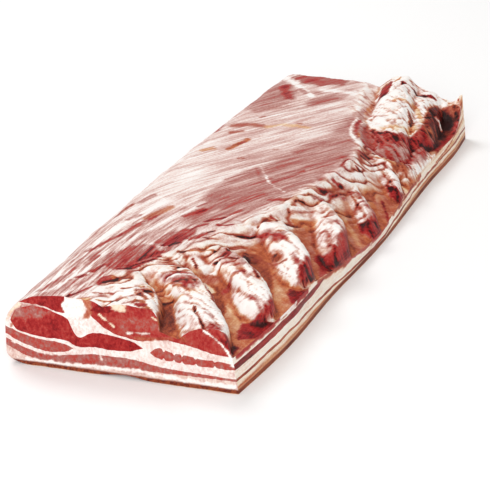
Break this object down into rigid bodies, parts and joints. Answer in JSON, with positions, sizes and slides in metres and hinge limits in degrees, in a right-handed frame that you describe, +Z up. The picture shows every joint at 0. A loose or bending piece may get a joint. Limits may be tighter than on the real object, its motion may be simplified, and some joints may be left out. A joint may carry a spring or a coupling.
{
  "type": "pancetta",
  "caption": "Flat slab of cured pork belly lying on its rind: layered cut ends, a smooth meat side, a ribbed side with raised fingers of meat, and a lump of fat in a corner pocket.",
  "frame": {"origin": "bottom centre of the bounding box", "axes": "+Y along the slab from the near cut end, +X towards the thin ribbed edge, +Z up from the rind"},
  "size_m": [0.1731, 0.4898, 0.0575],
  "materials": {
    "rind_fat": "cream back fat with a thin brown rind under it",
    "pink_lean": "moist pinkish lean",
    "fat": "smooth white fat",
    "red_lean": "moist deep red lean with fine fibres",
    "membrane": "mauve muscle under a pale streaked skin",
    "rib_membrane": "wrinkled skin, white on the ridges and tan in the hollows"
  },
  "bodies": {
    "root": {"back_fat": "rind_fat", "skin_muscle": "pink_lean", "seam_fat": "fat", "flank_lean": "pink_lean", "main_lean": "red_lean", "edge_lean": "red_lean", "top_lean": "membrane", "rib_meat": "rib_membrane", "pocket_fat": "fat"}
  },
  "joints": []
}
